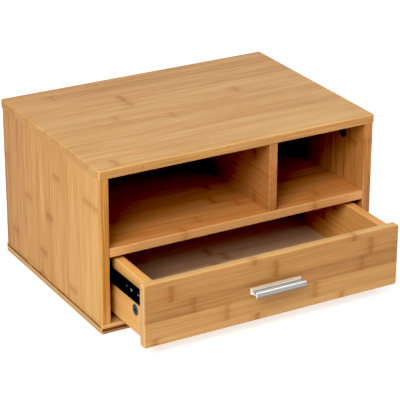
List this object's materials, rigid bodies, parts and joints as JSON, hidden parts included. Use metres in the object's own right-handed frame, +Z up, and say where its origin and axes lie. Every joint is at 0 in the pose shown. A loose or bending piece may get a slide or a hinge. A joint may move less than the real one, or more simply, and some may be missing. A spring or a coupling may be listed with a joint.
{
  "type": "desktop drawer organiser",
  "caption": "Bamboo desktop riser with two open compartments above one drawer that runs on ball slides and has an aluminium pull.",
  "frame": {"origin": "centre of the case's footprint, on the plane that it stands on", "axes": "+Z up, the drawer opens towards -Y, +X to the right seen from the front"},
  "size_m": [0.4, 0.3888, 0.22],
  "materials": {
    "bamboo": "clear satin lacquer over laminated bamboo strips",
    "bamboo_sheet": "thin bamboo ply, satin",
    "zinc_cam": "die-cast zinc, dull",
    "plated_steel": "bright zinc plate",
    "yellow_zinc_screw": "yellow passivated zinc",
    "dowel_wood": "raw beech",
    "black_slide_steel": "black electro-coated steel",
    "retainer_steel": "plain steel strip",
    "ball_steel": "polished",
    "brushed_aluminium": "satin anodised extrusion"
  },
  "bodies": {
    "case": {"top_panel": "bamboo", "bottom_panel": "bamboo", "side_panel_left": "bamboo", "side_panel_right": "bamboo", "shelf": "bamboo", "divider": "bamboo", "back_panel": "bamboo_sheet", "case_cam_locks": "zinc_cam", "case_cam_bolts": "plated_steel", "case_dowels": "dowel_wood", "shelf_cam_locks": "zinc_cam", "shelf_cam_bolts": "plated_steel", "shelf_dowels": "dowel_wood", "divider_dowels": "dowel_wood", "divider_screws": "yellow_zinc_screw", "cabinet_slide_screws": "yellow_zinc_screw", "slide_cabinet_member_left": "black_slide_steel", "slide_cabinet_member_right": "black_slide_steel"},
    "drawer": {"drawer_front": "bamboo", "drawer_side_left": "bamboo", "drawer_side_right": "bamboo", "drawer_back": "bamboo", "drawer_bottom": "bamboo_sheet", "drawer_cam_locks": "zinc_cam", "drawer_cam_bolts": "plated_steel", "drawer_dowels": "dowel_wood", "drawer_slide_screws": "yellow_zinc_screw", "handle": "brushed_aluminium", "handle_screws": "plated_steel", "slide_drawer_member_left": "black_slide_steel", "slide_drawer_member_right": "black_slide_steel"},
    "retainer_left": {"ball_retainer_left": "retainer_steel", "bearing_balls_left": "ball_steel"},
    "retainer_right": {"ball_retainer_right": "retainer_steel", "bearing_balls_right": "ball_steel"}
  },
  "joints": [
    {"name": "drawer_slide", "type": "slide", "parent": "case", "child": "drawer", "axis": [0, -1, 0], "range_m": [-0.086, 0.104]},
    {"name": "retainer_left_roll", "type": "slide", "parent": "case", "child": "retainer_left", "axis": [0, -1, 0], "range_m": [-0.043, 0.052]},
    {"name": "retainer_right_roll", "type": "slide", "parent": "case", "child": "retainer_right", "axis": [0, -1, 0], "range_m": [-0.043, 0.052]}
  ],
  "couplings": [
    {"joint": "retainer_left_roll", "follows": "drawer_slide", "ratio": 0.5},
    {"joint": "retainer_right_roll", "follows": "drawer_slide", "ratio": 0.5}
  ]
}
